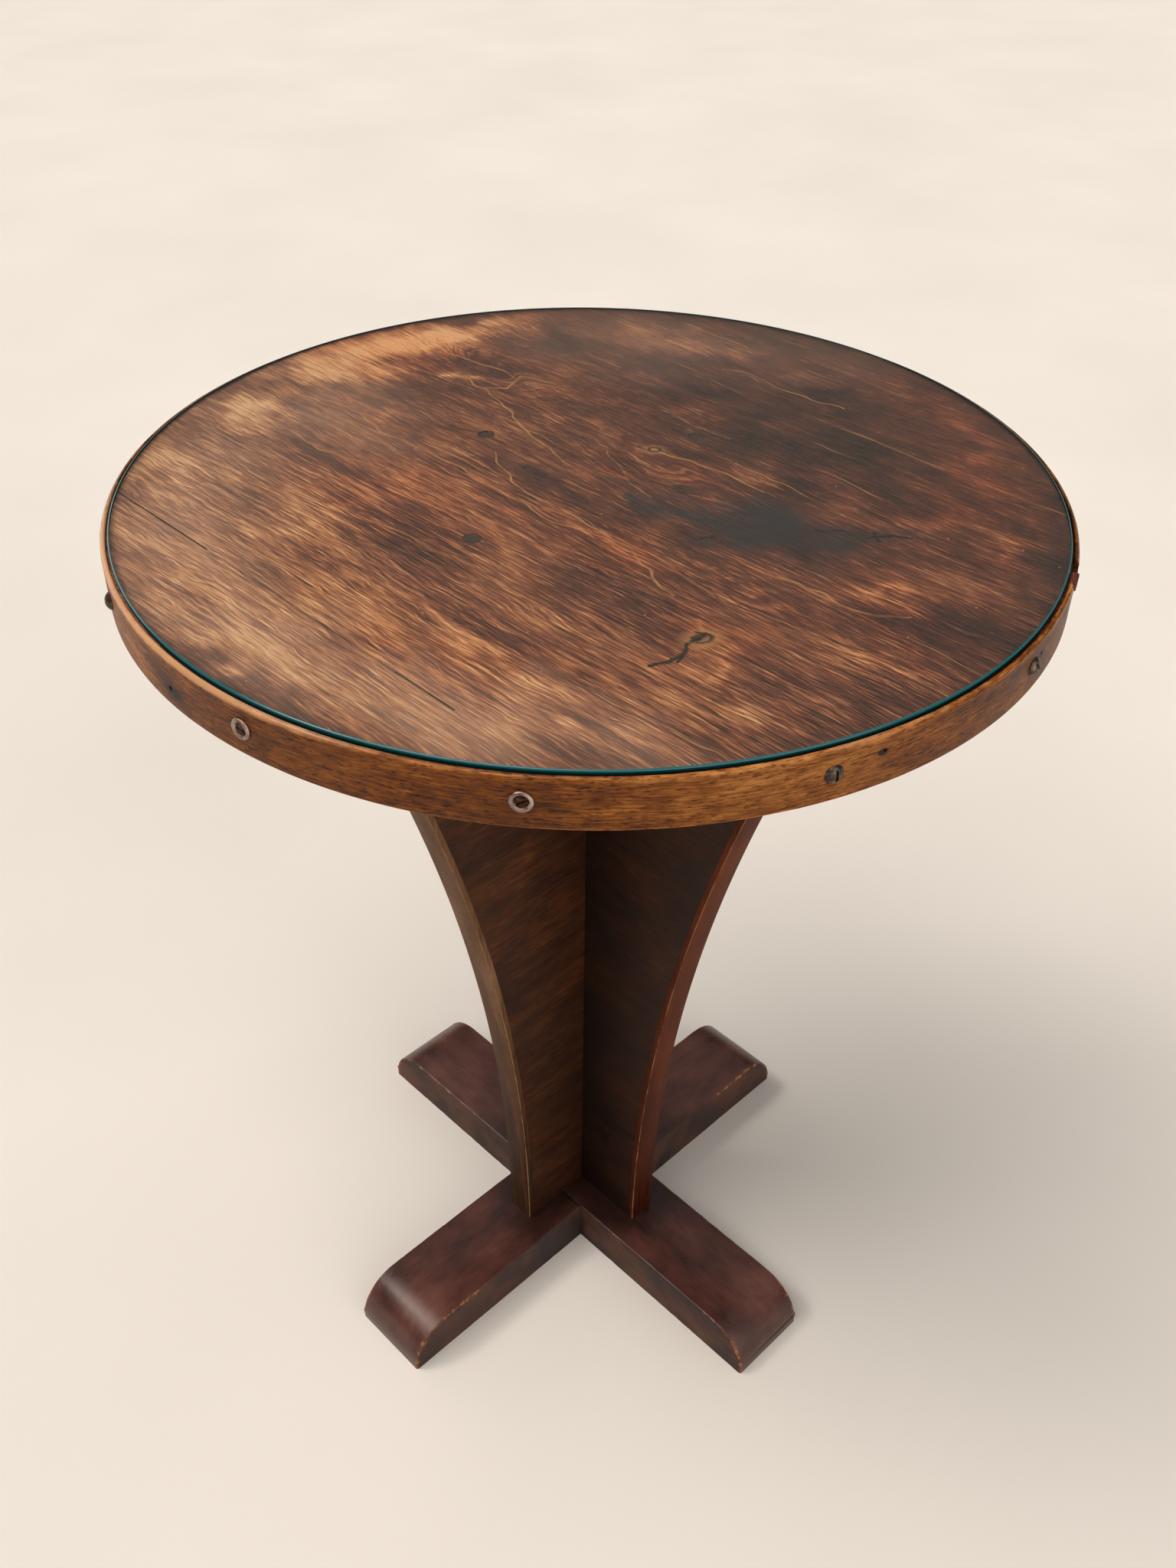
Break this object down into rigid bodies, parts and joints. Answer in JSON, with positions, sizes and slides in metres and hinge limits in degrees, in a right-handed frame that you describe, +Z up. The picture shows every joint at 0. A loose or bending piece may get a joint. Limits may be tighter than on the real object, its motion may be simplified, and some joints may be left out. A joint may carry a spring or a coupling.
{
  "type": "round side table",
  "caption": "Round side table: a plank top in a screwed bentwood hoop with a loose glass cover, on a flared cross-board pedestal and crossed feet.",
  "frame": {"origin": "on the floor, under the middle of the round top", "axes": "+Z up; -Y is the front, the side the picture was taken from; +X to the right; the four wings and feet lie on the diagonals of X and Y"},
  "size_m": [0.5112, 0.51, 0.6115],
  "materials": {
    "clear_glass": "clear float glass with a polished sea-green edge",
    "top_wood": "dark stained and varnished softwood, worn through to golden wood, satin",
    "hoop_wood": "bent varnished wood, golden brown, worn at its top edge",
    "patch_wood": "small reddish repair piece, satin",
    "nickelled_cups": "dull nickelled screw cups",
    "old_steel": "browned steel screw heads",
    "worn_steel": "worn steel round heads, dark with bright edges",
    "bright_steel": "plain steel screws",
    "plug_wood": "dark wooden plugs",
    "pedestal_veneer": "dark stained veneered board with the grain across, satin",
    "lipping_wood": "brown stained solid edging, worn pale at its arrises",
    "foot_wood": "dark red-brown stained hardwood, satin, rubbed through at the edges"
  },
  "bodies": {
    "table": {"top_plank_front_left": "top_wood", "top_plank_mid_left": "top_wood", "top_plank_middle": "top_wood", "top_plank_mid_right": "top_wood", "top_plank_back_right": "top_wood", "rim_hoop": "hoop_wood", "rim_patch": "patch_wood", "rim_screw_cups": "nickelled_cups", "rim_cup_screws": "old_steel", "rim_round_head_screws": "worn_steel", "top_screws": "bright_steel", "top_screw_plugs": "plug_wood", "pedestal_board_front_left": "pedestal_veneer", "pedestal_board_front_right": "pedestal_veneer", "edge_lipping_front_left": "lipping_wood", "edge_lipping_front_right": "lipping_wood", "edge_lipping_back_right": "lipping_wood", "edge_lipping_back_left": "lipping_wood", "foot_rail_front_left": "foot_wood", "foot_rail_front_right": "foot_wood", "base_screws": "bright_steel"},
    "glass": {"glass_top": "clear_glass"}
  },
  "joints": [
    {"name": "glass_lift", "type": "slide", "parent": "table", "child": "glass", "axis": [0, 0, 1], "range_m": [0, 0.06]}
  ]
}
